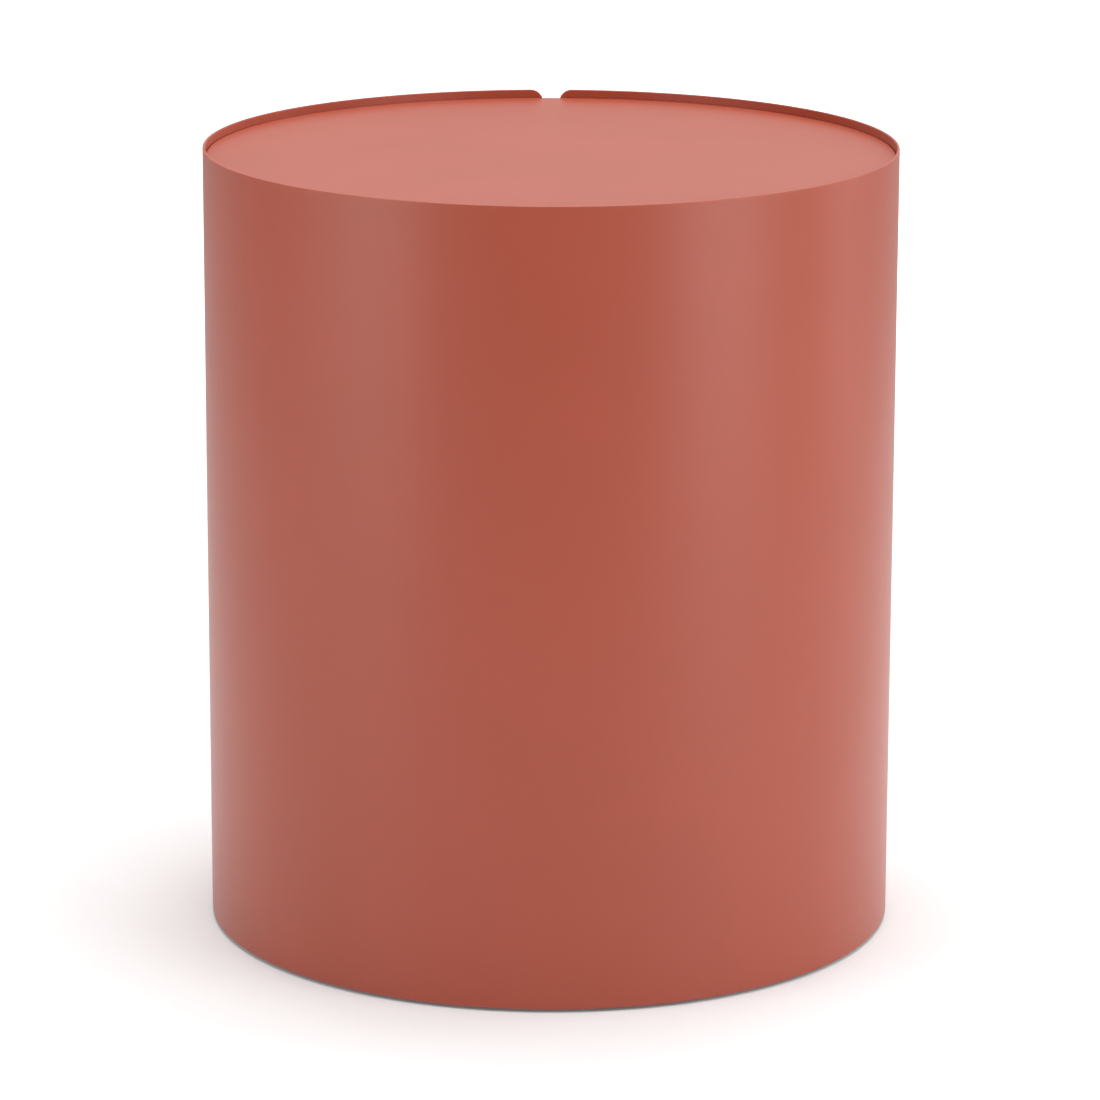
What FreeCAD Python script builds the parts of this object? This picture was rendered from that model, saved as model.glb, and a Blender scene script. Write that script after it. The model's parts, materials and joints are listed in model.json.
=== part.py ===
import FreeCAD, Part
import math
import os
import Sketcher

# Drum side table: a rolled sheet-steel drum, a tray top set down inside its lip, a cord notch at the back
# and four levelling feet inside the bottom edge.
# Millimetres. Origin on the floor under the centre of the drum, +Z up, cord notch towards +Y.

sizes = [
    # the drum
    ("drum_diameter", 400, "outside diameter of the drum"),
    ("shell_height", 455, "height of the rolled sheet"),
    ("shell_wall", 1.5, "sheet thickness of the drum"),
    ("shell_rounding", 0.5, "rounding of the sheet's coated edges"),
    ("floor_gap", 2, "drum's bottom edge above the floor, feet wound right in"),
    # the cord notch in the rim
    ("notch_width", 9.6, "width of the notch below its flared mouth"),
    ("notch_mouth_radius", 8, "radius of the flare on each side"),
    ("notch_depth", 14, "rim to the bottom of the notch"),
    # the table top
    ("tray_depth", 5, "rim down to the table top"),
    ("top_thickness", 2, "sheet thickness of the table top"),
    ("top_gap", 0.4, "joint line between table top and drum"),
    # the two rings welded inside the drum
    ("weld_gap", 0.2, "fit-up gap between a ring and the drum"),
    ("top_ring_width", 20, "flange of the top ring"),
    ("top_ring_depth", 20, "upright leg of the top ring"),
    ("top_ring_thickness", 2, "thickness of the top ring's angle"),
    ("bottom_ring_width", 40, "width of the flat bottom ring"),
    ("bottom_ring_thickness", 3, "thickness of the bottom ring"),
    ("ring_rounding", 0.5, "rounding of the rings' cut edges"),
    # the two hat channels under the table top
    ("brace_length", 300, "length of a brace"),
    ("brace_spacing", 140, "centre line to centre line"),
    ("brace_web", 20, "width across a brace's web"),
    ("brace_foot", 10, "width of each foot flange"),
    ("brace_depth", 12, "depth of a brace"),
    ("brace_thickness", 1.2, "sheet thickness of a brace"),
    ("inside_bend", 1, "inside radius of the bends in braces and top ring"),
    # what holds the table top down
    ("stud_count", 6, "weld studs round the table top"),
    ("stud_inset", 11, "drum's inner face to a stud's axis"),
    ("stud_diameter", 5, "thread of the weld studs"),
    ("stud_length", 13, "length of a stud below the table top"),
    ("stud_hole_play", 0.75, "radial play between a stud and its hole in the top ring"),
    ("washer_diameter", 10, "outside of a washer"),
    ("washer_play", 0.15, "radial play between a stud and its washer"),
    ("washer_thickness", 1, "thickness of a washer"),
    ("small_nut_flats", 8, "top nuts across flats"),
    ("small_nut_height", 4, "height of a top nut"),
    # the levelling feet
    ("foot_count", 4, "feet round the bottom ring"),
    ("foot_inset", 25, "drum's outer face to a foot's axis"),
    ("foot_travel", 10, "how far a foot winds out"),
    ("foot_stop_gap", 0.3, "collar to ring with the foot wound right in"),
    ("stem_diameter", 8, "thread of a foot's stem"),
    ("stem_hole_play", 0.5, "radial play between a stem and its hole in the bottom ring"),
    ("stem_spare", 1.5, "stem left above its nut, foot wound right out"),
    ("stem_chamfer", 1, "chamfer on the stem's top end"),
    ("large_nut_flats", 13, "foot nuts across flats"),
    ("large_nut_height", 6.5, "height of a foot nut"),
    ("thread_play", 0.06, "radial play between a thread and its nut"),
    ("collar_flats", 13, "stem's hexagon across flats"),
    ("collar_height", 4.2, "height of the hexagon"),
    ("neck_diameter", 7, "stem below the hexagon"),
    ("head_diameter", 12, "swivel head inside the foot base"),
    ("head_height", 2.2, "height of the swivel head"),
    ("swivel_play", 0.08, "radial play between the stem and its base"),
    ("swivel_end_play", 0.2, "play under, over and above the swivel head"),
    ("base_diameter", 28, "outside of a foot base"),
    ("base_rounding", 1.5, "rounding of the base's upper edge"),
    ("base_roof", 1.6, "nylon over the swivel head"),
    ("base_floor", 1.8, "nylon between the swivel head and the pad"),
    ("base_rim", 1.6, "nylon round the felt pad"),
    ("pad_thickness", 2.5, "thickness of a felt pad"),
    ("pad_proud", 1, "pad below the base's rim"),
    ("pad_gap", 0.2, "gap round a felt pad"),
    ("pad_rounding", 0.4, "rounding of the pad's lower edge"),
]

document = FreeCAD.newDocument("DrumSideTable")
sheet = document.addObject("Spreadsheet::Sheet", "Sizes")
for row, (name, value, note) in enumerate(sizes, start=1):
    sheet.set(f"A{row}", name)
    sheet.set(f"B{row}", str(value))
    sheet.set(f"C{row}", note)
    sheet.setAlias(f"B{row}", name)
document.recompute()

# Radii and heights that several pieces share, as expressions on the sheet.
outer_face = "Sizes.drum_diameter / 2"
inner_face = f"({outer_face} - Sizes.shell_wall)"
ring_face = f"({inner_face} - Sizes.weld_gap)"
stud_circle = f"({inner_face} - Sizes.stud_inset)"
foot_circle = f"({outer_face} - Sizes.foot_inset)"

rim_level = "(Sizes.floor_gap + Sizes.shell_height)"
tray_level = f"({rim_level} - Sizes.tray_depth)"
top_underside = f"({tray_level} - Sizes.top_thickness)"
flange_underside = f"({top_underside} - Sizes.top_ring_thickness)"
washer_underside = f"({flange_underside} - Sizes.washer_thickness)"

# A foot, from the floor up.
base_bottom = "Sizes.pad_proud"
pad_top = "Sizes.pad_thickness"
head_space_bottom = f"({pad_top} + Sizes.base_floor)"
head_bottom = f"({head_space_bottom} + Sizes.swivel_end_play)"
head_top = f"({head_bottom} + Sizes.head_height)"
head_space_top = f"({head_top} + Sizes.swivel_end_play)"
base_top = f"({head_space_top} + Sizes.base_roof)"
collar_bottom = f"({base_top} + Sizes.swivel_end_play)"
collar_top = f"({collar_bottom} + Sizes.collar_height)"
ring_underside = f"({collar_top} + Sizes.foot_stop_gap)"
ring_top = f"({ring_underside} + Sizes.bottom_ring_thickness)"
stem_end = f"({ring_top} + Sizes.large_nut_height + Sizes.foot_travel + Sizes.stem_spare)"

subParts = []


def size(expression):
    """The number that an expression on the sheet comes to."""
    return float(sheet.evalExpression(expression))


def newBody(label):
    """An empty body, which is one sub-part and one file."""
    body = document.addObject("PartDesign::Body", label)
    body.Label = label
    subParts.append(body)
    return body


def originFeature(body, role):
    """One of the body's own origin planes or axes."""
    return next(feature for feature in body.Origin.OriginFeatures if feature.Role == role)


def newSketch(body, name, role, level=None):
    """A sketch on an origin plane of its body, lifted to a level if one is given."""
    sketch = body.newObject("Sketcher::SketchObject", name)
    sketch.AttachmentSupport = [(originFeature(body, role), "")]
    sketch.MapMode = "FlatFace"
    if level is not None:
        sketch.setExpression("AttachmentOffset.Base.z", level)
    return sketch


def bind(sketch, kind, *geometry, to):
    """A dimension in a sketch that follows an expression."""
    index = sketch.addConstraint(Sketcher.Constraint(kind, *geometry, size(to)))
    name = f"{kind}{index}"
    sketch.renameConstraint(index, name)
    sketch.setExpression(f"Constraints.{name}", to)


def place(sketch, geometry, point, x, y):
    """Hold one point of a sketch at two expressions, each either on its axis or a dimension from it."""
    for kind, expression, axis in (("DistanceX", x, -2), ("DistanceY", y, -1)):
        if expression == "0":
            sketch.addConstraint(Sketcher.Constraint("PointOnObject", geometry, point, axis))
        else:
            bind(sketch, kind, -1, 1, geometry, point, to=expression)


def outline(sketch, corners):
    """A closed outline whose sides are level or upright in turn.

    Each corner is (x, y) or (x, y, radius); a corner with a radius is rounded off by a tangent arc.
    """
    count = len(corners)
    at = [(size(corner[0]), size(corner[1])) for corner in corners]
    radius = [size(corner[2]) if len(corner) > 2 else 0 for corner in corners]

    def along(start, end, distance):
        step = FreeCAD.Vector(at[end][0] - at[start][0], at[end][1] - at[start][1], 0)
        return FreeCAD.Vector(*at[start], 0) + step.normalize() * distance

    sides = []
    for i in range(count):
        j = (i + 1) % count
        line = Part.LineSegment(along(i, j, radius[i]), along(j, i, radius[j]))
        sides.append(sketch.addGeometry(line, False))
        level = abs(at[i][1] - at[j][1]) < abs(at[i][0] - at[j][0])
        sketch.addConstraint(Sketcher.Constraint("Horizontal" if level else "Vertical", sides[i]))
        position = corners[i][1] if level else corners[i][0]
        if position == "0":
            sketch.addConstraint(Sketcher.Constraint("PointOnObject", sides[i], 1, -1 if level else -2))
        else:
            bind(sketch, "DistanceY" if level else "DistanceX", -1, 1, sides[i], 1, to=position)
    for i in range(count):
        before = sides[i - 1]
        after = sides[i]
        if radius[i] == 0:
            sketch.addConstraint(Sketcher.Constraint("Coincident", before, 2, after, 1))
            continue
        start = along(i, i - 1, radius[i])
        end = along(i, (i + 1) % count, radius[i])
        centre = start + end - FreeCAD.Vector(*at[i], 0)
        middle = centre + (FreeCAD.Vector(*at[i], 0) - centre).normalize() * radius[i]
        arc = sketch.addGeometry(Part.Arc(start, middle, end), False)
        leftTurn = (start - centre).cross(end - centre).z > 0
        first, last = (1, 2) if leftTurn else (2, 1)
        sketch.addConstraint(Sketcher.Constraint("Tangent", before, 2, arc, first))
        sketch.addConstraint(Sketcher.Constraint("Tangent", arc, last, after, 1))
        bind(sketch, "Radius", arc, to=corners[i][2])


def circle(sketch, x, y, diameter):
    """A full circle held by its centre and diameter."""
    centre = FreeCAD.Vector(size(x), size(y), 0)
    index = sketch.addGeometry(Part.Circle(centre, FreeCAD.Vector(0, 0, 1), size(diameter) / 2), False)
    place(sketch, index, 3, x, y)
    bind(sketch, "Diameter", index, to=diameter)


def hexagon(sketch, x, flats):
    """A hexagon centred on the sketch's X axis, two of its flats level."""
    corners = []
    for i in range(6):
        across = f"{x} + {flats} / sqrt(3) * cos({60 * i})"
        up = "0" if i in (0, 3) else f"{flats} / sqrt(3) * sin({60 * i})"
        corners.append((across, up))
    at = [FreeCAD.Vector(size(across), size(up), 0) for across, up in corners]
    sides = []
    for i in range(6):
        sides.append(sketch.addGeometry(Part.LineSegment(at[i], at[(i + 1) % 6]), False))
        place(sketch, sides[i], 1, *corners[i])
    for i in range(6):
        sketch.addConstraint(Sketcher.Constraint("Coincident", sides[i - 1], 2, sides[i], 1))


def revolve(body, name, corners):
    """Turn an outline of radii and heights once round the body's Z axis."""
    sketch = newSketch(body, name + "Sketch", "XZ_Plane")
    outline(sketch, corners)
    feature = body.newObject("PartDesign::Revolution", name)
    feature.Profile = sketch
    feature.ReferenceAxis = (sketch, ["V_Axis"])
    feature.Angle = 360
    document.recompute()
    return feature


def extrude(body, name, sketch, length):
    """Pad a sketch along its normal."""
    feature = body.newObject("PartDesign::Pad", name)
    feature.Profile = sketch
    feature.setExpression("Length", length)
    document.recompute()
    return feature


def pocket(body, name, sketch, length):
    """Cut a sketch out of the body, and make sure that something was cut."""
    before = body.Shape.Volume
    feature = body.newObject("PartDesign::Pocket", name)
    feature.Profile = sketch
    feature.setExpression("Length", length)
    document.recompute()
    if body.Shape.Volume > before * (1 - 1e-6):
        raise RuntimeError(f"{body.Label}: {name} cut nothing")
    return feature


def chamferEnd(body, base, radius, level, width):
    """Chamfer the round edge that has this radius and height."""
    for number, edge in enumerate(base.Shape.Edges, start=1):
        curve = edge.Curve
        if (isinstance(curve, Part.Circle) and abs(curve.Radius - size(radius)) < 1e-6
                and abs(curve.Center.z - size(level)) < 1e-6):
            feature = body.newObject("PartDesign::Chamfer", base.Name + "Chamfer")
            feature.Base = (base, [f"Edge{number}"])
            feature.setExpression("Size", width)
            document.recompute()
            return
    raise RuntimeError(f"{body.Label}: no round edge to chamfer")


def repeatRound(body, feature, count):
    """Repeat a feature round the body's Z axis."""
    pattern = body.newObject("PartDesign::PolarPattern", feature.Name + "Pattern")
    pattern.Originals = [feature]
    pattern.Axis = (originFeature(body, "Z_Axis"), [""])
    pattern.Angle = 360
    pattern.setExpression("Occurrences", count)
    body.Tip = pattern
    document.recompute()


# Drum

def makeOuterShell():
    body = newBody("outer_shell")
    revolve(body, "RolledSheet", [
        (inner_face, "Sizes.floor_gap", "Sizes.shell_rounding"),
        (outer_face, "Sizes.floor_gap", "Sizes.shell_rounding"),
        (outer_face, rim_level, "Sizes.shell_rounding"),
        (inner_face, rim_level, "Sizes.shell_rounding"),
    ])
    sketch = newSketch(body, "CordNotchSketch", "XZ_Plane")
    drawNotch(sketch)
    pocket(body, "CordNotch", sketch, f"{outer_face} + Sizes.shell_wall")
    if body.Shape.CenterOfGravity.y > 0:
        raise RuntimeError("the cord notch is not at the back of the drum")


def drawNotch(sketch):
    """A slot with a round bottom whose sides flare out into the rim."""
    half = size("Sizes.notch_width / 2")
    flare = size("Sizes.notch_mouth_radius")
    rim = size(rim_level)
    bottom = rim - size("Sizes.notch_depth")
    corner = math.sqrt(0.5)

    def point(x, y):
        return FreeCAD.Vector(x, y, 0)

    def flareArc(side):
        centre = point(side * (half + flare), rim - flare)
        middle = centre + point(-side, 1) * (corner * flare)
        return Part.Arc(point(side * half, rim - flare), middle, point(side * (half + flare), rim))

    def wall(side):
        return Part.LineSegment(point(side * half, bottom + half), point(side * half, rim - flare))

    mouth = sketch.addGeometry(Part.LineSegment(point(-half - flare, rim), point(half + flare, rim)), False)
    leftFlare = sketch.addGeometry(flareArc(-1), False)
    rightFlare = sketch.addGeometry(flareArc(1), False)
    leftWall = sketch.addGeometry(wall(-1), False)
    rightWall = sketch.addGeometry(wall(1), False)
    halfCircle = Part.Arc(point(-half, bottom + half), point(0, bottom), point(half, bottom + half))
    bottomRound = sketch.addGeometry(halfCircle, False)

    # arcs run anticlockwise: the left flare starts at its wall, the right flare at the rim
    for first, firstEnd, second, secondEnd in (
        (leftFlare, 1, leftWall, 2),
        (rightFlare, 2, rightWall, 2),
        (leftWall, 1, bottomRound, 1),
        (rightWall, 1, bottomRound, 2),
    ):
        sketch.addConstraint(Sketcher.Constraint("Tangent", first, firstEnd, second, secondEnd))
    sketch.addConstraint(Sketcher.Constraint("Tangent", mouth, 1, leftFlare, 2))
    sketch.addConstraint(Sketcher.Constraint("Tangent", mouth, 2, rightFlare, 1))
    sketch.addConstraint(Sketcher.Constraint("Vertical", leftWall))
    sketch.addConstraint(Sketcher.Constraint("Equal", leftFlare, rightFlare))
    sketch.addConstraint(Sketcher.Constraint("PointOnObject", bottomRound, 3, -2))
    sketch.addConstraint(Sketcher.Constraint("Horizontal", mouth))
    bind(sketch, "DistanceY", -1, 1, mouth, 1, to=rim_level)
    bind(sketch, "Radius", leftFlare, to="Sizes.notch_mouth_radius")
    bind(sketch, "Radius", bottomRound, to="Sizes.notch_width / 2")
    bind(sketch, "DistanceY", -1, 1, bottomRound, 3,
         to=f"{rim_level} - Sizes.notch_depth + Sizes.notch_width / 2")


# Table top and what stiffens it

def makeTableTop():
    body = newBody("table_top")
    edge = f"{inner_face} - Sizes.top_gap"
    revolve(body, "Disc", [
        ("0", top_underside),
        (edge, top_underside, "Sizes.ring_rounding"),
        (edge, tray_level, "Sizes.ring_rounding"),
        ("0", tray_level),
    ])


def makeBrace(label, side):
    """A hat channel, feet up against the table top, running front to back."""
    body = newBody(label)
    sketch = newSketch(body, "HatSketch", "XZ_Plane")
    outer = "Sizes.brace_web / 2"
    inner = f"({outer} - Sizes.brace_thickness)"
    toe = f"({outer} + Sizes.brace_foot)"
    foot_underside = f"({top_underside} - Sizes.brace_thickness)"
    web_underside = f"({top_underside} - Sizes.brace_depth)"
    web_top = f"({web_underside} + Sizes.brace_thickness)"
    tight = "Sizes.inside_bend"
    wide = "(Sizes.inside_bend + Sizes.brace_thickness)"
    centre = f"({side} * Sizes.brace_spacing / 2)"
    outline(sketch, [
        (f"{centre} - {toe}", top_underside),
        (f"{centre} - {toe}", foot_underside),
        (f"{centre} - {outer}", foot_underside, tight),
        (f"{centre} - {outer}", web_underside, wide),
        (f"{centre} + {outer}", web_underside, wide),
        (f"{centre} + {outer}", foot_underside, tight),
        (f"{centre} + {toe}", foot_underside),
        (f"{centre} + {toe}", top_underside),
        (f"{centre} + {inner}", top_underside, wide),
        (f"{centre} + {inner}", web_top, tight),
        (f"{centre} - {inner}", web_top, tight),
        (f"{centre} - {inner}", top_underside, wide),
    ])
    sketch.setExpression("AttachmentOffset.Base.z", "-Sizes.brace_length / 2")
    extrude(body, "Channel", sketch, "Sizes.brace_length")


def makeTopSupportRing():
    body = newBody("top_support_ring")
    lip = f"({ring_face} - Sizes.top_ring_width)"
    leg = f"({ring_face} - Sizes.top_ring_thickness)"
    leg_bottom = f"({top_underside} - Sizes.top_ring_depth)"
    revolve(body, "RolledAngle", [
        (lip, flange_underside, "Sizes.ring_rounding"),
        (leg, flange_underside, "Sizes.inside_bend"),
        (leg, leg_bottom, "Sizes.ring_rounding"),
        (ring_face, leg_bottom, "Sizes.ring_rounding"),
        (ring_face, top_underside, "(Sizes.inside_bend + Sizes.top_ring_thickness)"),
        (lip, top_underside, "Sizes.ring_rounding"),
    ])
    sketch = newSketch(body, "StudHoleSketch", "XY_Plane", top_underside)
    circle(sketch, stud_circle, "0", "Sizes.stud_diameter + 2 * Sizes.stud_hole_play")
    hole = pocket(body, "StudHole", sketch, "Sizes.top_ring_thickness * 2")
    repeatRound(body, hole, "Sizes.stud_count")


# What holds the table top down: pieces repeated round the stud circle

def makeTopWeldStuds():
    body = newBody("top_weld_studs")
    sketch = newSketch(body, "StudSketch", "XY_Plane", f"{top_underside} - Sizes.stud_length")
    circle(sketch, stud_circle, "0", "Sizes.stud_diameter")
    stud = extrude(body, "Stud", sketch, "Sizes.stud_length")
    repeatRound(body, stud, "Sizes.stud_count")


def makeTopWashers():
    body = newBody("top_washers")
    sketch = newSketch(body, "WasherSketch", "XY_Plane", washer_underside)
    circle(sketch, stud_circle, "0", "Sizes.washer_diameter")
    circle(sketch, stud_circle, "0", "Sizes.stud_diameter + 2 * Sizes.washer_play")
    washer = extrude(body, "Washer", sketch, "Sizes.washer_thickness")
    repeatRound(body, washer, "Sizes.stud_count")


def makeTopNuts():
    body = newBody("top_nuts")
    sketch = newSketch(body, "NutSketch", "XY_Plane", f"{washer_underside} - Sizes.small_nut_height")
    hexagon(sketch, stud_circle, "Sizes.small_nut_flats")
    circle(sketch, stud_circle, "0", "Sizes.stud_diameter + 2 * Sizes.thread_play")
    nut = extrude(body, "Nut", sketch, "Sizes.small_nut_height")
    repeatRound(body, nut, "Sizes.stud_count")


# Bottom ring and its nuts: patterns start on the X axis, so each body is turned to the first foot's angle

first_foot_angle = "180 / Sizes.foot_count"


def turnToFeet(body):
    body.Placement = FreeCAD.Placement(FreeCAD.Vector(), FreeCAD.Rotation(FreeCAD.Vector(0, 0, 1), 0))
    body.setExpression("Placement.Rotation.Angle", first_foot_angle)
    document.recompute()


def makeBottomRing():
    body = newBody("bottom_ring")
    inner = f"({ring_face} - Sizes.bottom_ring_width)"
    revolve(body, "FlatRing", [
        (inner, ring_underside, "Sizes.ring_rounding"),
        (ring_face, ring_underside, "Sizes.ring_rounding"),
        (ring_face, ring_top, "Sizes.ring_rounding"),
        (inner, ring_top, "Sizes.ring_rounding"),
    ])
    sketch = newSketch(body, "StemHoleSketch", "XY_Plane", ring_top)
    circle(sketch, foot_circle, "0", "Sizes.stem_diameter + 2 * Sizes.stem_hole_play")
    hole = pocket(body, "StemHole", sketch, "Sizes.bottom_ring_thickness * 2")
    repeatRound(body, hole, "Sizes.foot_count")
    turnToFeet(body)


def makeFootWeldNuts():
    body = newBody("foot_weld_nuts")
    sketch = newSketch(body, "NutSketch", "XY_Plane", ring_top)
    hexagon(sketch, foot_circle, "Sizes.large_nut_flats")
    circle(sketch, foot_circle, "0", "Sizes.stem_diameter + 2 * Sizes.thread_play")
    nut = extrude(body, "Nut", sketch, "Sizes.large_nut_height")
    repeatRound(body, nut, "Sizes.foot_count")
    turnToFeet(body)


# Levelling feet: each piece is drawn round the Z axis and then placed on the foot circle

def placeOnFootCircle(body, number):
    angle = f"{first_foot_angle} + {number - 1} * 360 / Sizes.foot_count"
    body.setExpression("Placement.Base.x", f"{foot_circle} * cos({angle})")
    body.setExpression("Placement.Base.y", f"{foot_circle} * sin({angle})")
    document.recompute()


def makeFootStem(number):
    body = newBody(f"foot_stem_{number}")
    head = "Sizes.head_diameter / 2"
    neck = "Sizes.neck_diameter / 2"
    shank = "Sizes.stem_diameter / 2"
    turned = revolve(body, "Turned", [
        ("0", head_bottom),
        (head, head_bottom),
        (head, head_top),
        (neck, head_top),
        (neck, collar_bottom),
        (shank, collar_bottom),
        (shank, stem_end),
        ("0", stem_end),
    ])
    chamferEnd(body, turned, shank, stem_end, "Sizes.stem_chamfer")
    sketch = newSketch(body, "CollarSketch", "XY_Plane", collar_bottom)
    hexagon(sketch, "0", "Sizes.collar_flats")
    extrude(body, "Collar", sketch, "Sizes.collar_height")
    placeOnFootCircle(body, number)


def makeFootBase(number):
    body = newBody(f"foot_base_{number}")
    outside = "Sizes.base_diameter / 2"
    recess = f"({outside} - Sizes.base_rim)"
    head_space = "(Sizes.head_diameter / 2 + Sizes.swivel_play)"
    neck_bore = "(Sizes.neck_diameter / 2 + Sizes.swivel_play)"
    revolve(body, "Moulded", [
        ("0", pad_top),
        (recess, pad_top),
        (recess, base_bottom),
        (outside, base_bottom),
        (outside, base_top, "Sizes.base_rounding"),
        (neck_bore, base_top),
        (neck_bore, head_space_top),
        (head_space, head_space_top),
        (head_space, head_space_bottom),
        ("0", head_space_bottom),
    ])
    placeOnFootCircle(body, number)


def makeFootPad(number):
    body = newBody(f"foot_pad_{number}")
    edge = "(Sizes.base_diameter / 2 - Sizes.base_rim - Sizes.pad_gap)"
    revolve(body, "Felt", [
        ("0", "0"),
        (edge, "0", "Sizes.pad_rounding"),
        (edge, pad_top),
        ("0", pad_top),
    ])
    placeOnFootCircle(body, number)


makeOuterShell()
makeTableTop()
makeBrace("left_brace", -1)
makeBrace("right_brace", 1)
makeTopSupportRing()
makeTopWeldStuds()
makeTopWashers()
makeTopNuts()
makeBottomRing()
makeFootWeldNuts()
for foot in range(1, int(size("Sizes.foot_count")) + 1):
    makeFootStem(foot)
    makeFootBase(foot)
    makeFootPad(foot)

document.recompute()
for item in document.Objects:
    if "Invalid" in item.State or "Error" in item.State:
        raise RuntimeError(f"{item.Label} did not recompute: {item.State}")
for body in subParts:
    if body.Shape.isNull() or not body.Shape.isValid() or not body.Shape.Solids:
        raise RuntimeError(f"{body.Label} has no valid shape")

os.makedirs("parts", exist_ok=True)
for body in subParts:
    body.Shape.exportStep(f"parts/{body.Label}.step")
    box = body.Shape.BoundBox
    print(f"{body.Label}: {len(body.Shape.Solids)} solid(s), {body.Shape.Volume:.0f} mm3, "
          f"z {box.ZMin:.2f} to {box.ZMax:.2f}")
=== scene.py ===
import json
import math
import bpy
import numpy as np
from mathutils import Matrix, Vector

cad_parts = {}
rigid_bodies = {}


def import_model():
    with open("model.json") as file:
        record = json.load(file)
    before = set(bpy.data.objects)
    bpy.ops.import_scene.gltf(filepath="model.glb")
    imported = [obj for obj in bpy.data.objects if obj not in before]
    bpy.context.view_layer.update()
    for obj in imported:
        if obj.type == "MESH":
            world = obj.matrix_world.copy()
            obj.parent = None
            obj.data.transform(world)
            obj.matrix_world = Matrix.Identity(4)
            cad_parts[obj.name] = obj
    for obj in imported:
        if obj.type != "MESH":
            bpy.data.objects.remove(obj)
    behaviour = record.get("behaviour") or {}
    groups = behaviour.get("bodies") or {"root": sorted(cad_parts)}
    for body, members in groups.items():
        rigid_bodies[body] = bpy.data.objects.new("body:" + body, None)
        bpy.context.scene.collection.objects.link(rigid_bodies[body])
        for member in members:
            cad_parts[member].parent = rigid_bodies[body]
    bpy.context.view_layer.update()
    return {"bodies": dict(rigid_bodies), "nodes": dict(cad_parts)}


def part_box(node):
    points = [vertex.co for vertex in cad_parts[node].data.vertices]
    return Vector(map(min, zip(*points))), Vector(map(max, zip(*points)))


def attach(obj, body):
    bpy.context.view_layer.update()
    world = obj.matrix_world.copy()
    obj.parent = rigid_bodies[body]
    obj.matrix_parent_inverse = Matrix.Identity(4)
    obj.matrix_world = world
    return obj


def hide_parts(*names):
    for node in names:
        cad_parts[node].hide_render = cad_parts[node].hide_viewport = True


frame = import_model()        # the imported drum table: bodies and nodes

mm = 0.001
feet = sorted(body[len("foot_"):] for body in frame["bodies"] if body.startswith("foot_"))
print("frame:", len(frame["nodes"]), "nodes,", len(feet), "feet")


class Wire:
    # one output socket; a sum written with it lays Math nodes
    def __init__(self, paint, socket):
        self.paint = paint
        self.socket = socket

    def sum(self, operation, first, second):
        return self.paint.node("ShaderNodeMath", {"operation": operation}, {0: first, 1: second})

    def __add__(self, other):
        return self.sum("ADD", self, other)

    def __sub__(self, other):
        return self.sum("SUBTRACT", self, other)

    def __rsub__(self, other):
        return self.sum("SUBTRACT", other, self)

    def __mul__(self, other):
        return self.sum("MULTIPLY", self, other)

    __radd__ = __add__
    __rmul__ = __mul__


class Paint:
    # a node tree while it is being laid: a material's, or the world's
    def __init__(self, owner):
        self.owner = owner
        owner.use_nodes = True
        self.tree = owner.node_tree
        self.tree.nodes.clear()

    def node(self, kind, settings=None, sockets=None, output=0):
        # settings go in first, then each socket's number or wire
        made = self.tree.nodes.new(kind)
        for key, value in (settings or {}).items():
            setattr(made, key, value)
        for key, value in (sockets or {}).items():
            if isinstance(value, Wire):
                self.tree.links.new(value.socket, made.inputs[key])
            else:
                made.inputs[key].default_value = value
        return Wire(self, made.outputs[output]) if made.outputs else None

    def place(self):
        return self.node("ShaderNodeTexCoord", output="Object")

    def stretched(self, scale):
        return self.node("ShaderNodeMapping", sockets={"Vector": self.place(), "Scale": scale})

    def noise(self, size, detail=2.0, rough=0.5, at=None):
        # lumps about this size across, in metres
        sockets = {"Vector": at or self.place(), "Scale": 1 / size, "Detail": detail, "Roughness": rough}
        return self.node("ShaderNodeTexNoise", sockets=sockets)

    def field(self, name):
        # a number that the mesh carries at each point
        return self.node("ShaderNodeAttribute", {"attribute_name": name}, output="Fac")

    def larger(self, first, second):
        return self.node("ShaderNodeMath", {"operation": "MAXIMUM"}, {0: first, 1: second})

    def mix(self, share, first, second):
        return self.node("ShaderNodeMix", {"data_type": "RGBA"}, {0: share, 6: first, 7: second}, output=2)

    def fade(self, value, low, high):
        # 0 below low, 1 above high, smooth between
        sockets = {"Value": value, "From Min": low, "From Max": high}
        return self.node("ShaderNodeMapRange", {"interpolation_type": "SMOOTHSTEP"}, sockets)

    def relief(self, height, metres, under=None):
        sockets = {"Height": height, "Distance": metres}
        if under:
            sockets["Normal"] = under
        return self.node("ShaderNodeBump", sockets=sockets)

    def finish(self, sockets):
        surface = self.node("ShaderNodeBsdfPrincipled", sockets=sockets)
        self.node("ShaderNodeOutputMaterial", sockets={"Surface": surface})
        return self.owner


def newPaint(name):
    return Paint(bpy.data.materials.new(name))


# Finishes

coat = {
    "colour": (0.327, 0.0550, 0.0258, 1),    # terracotta
    "deep": (0.317, 0.0534, 0.0250, 1),      # where the powder lies thicker
    "thin": (0.355, 0.068, 0.034, 1),        # where it draws back from a sharp edge
    "thinShare": 0.5,
    "rough": 0.36,
    "cloud": 90 * mm,                        # slow change of thickness over a sheet
    "speck": 0.9 * mm,
    "peel": 1.5 * mm,                        # orange peel, crest to crest
    "peelHeight": 0.006 * mm,
    "grain": 0.35 * mm,                      # the powder's own grain
    "grainHeight": 0.0016 * mm,
}


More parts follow.
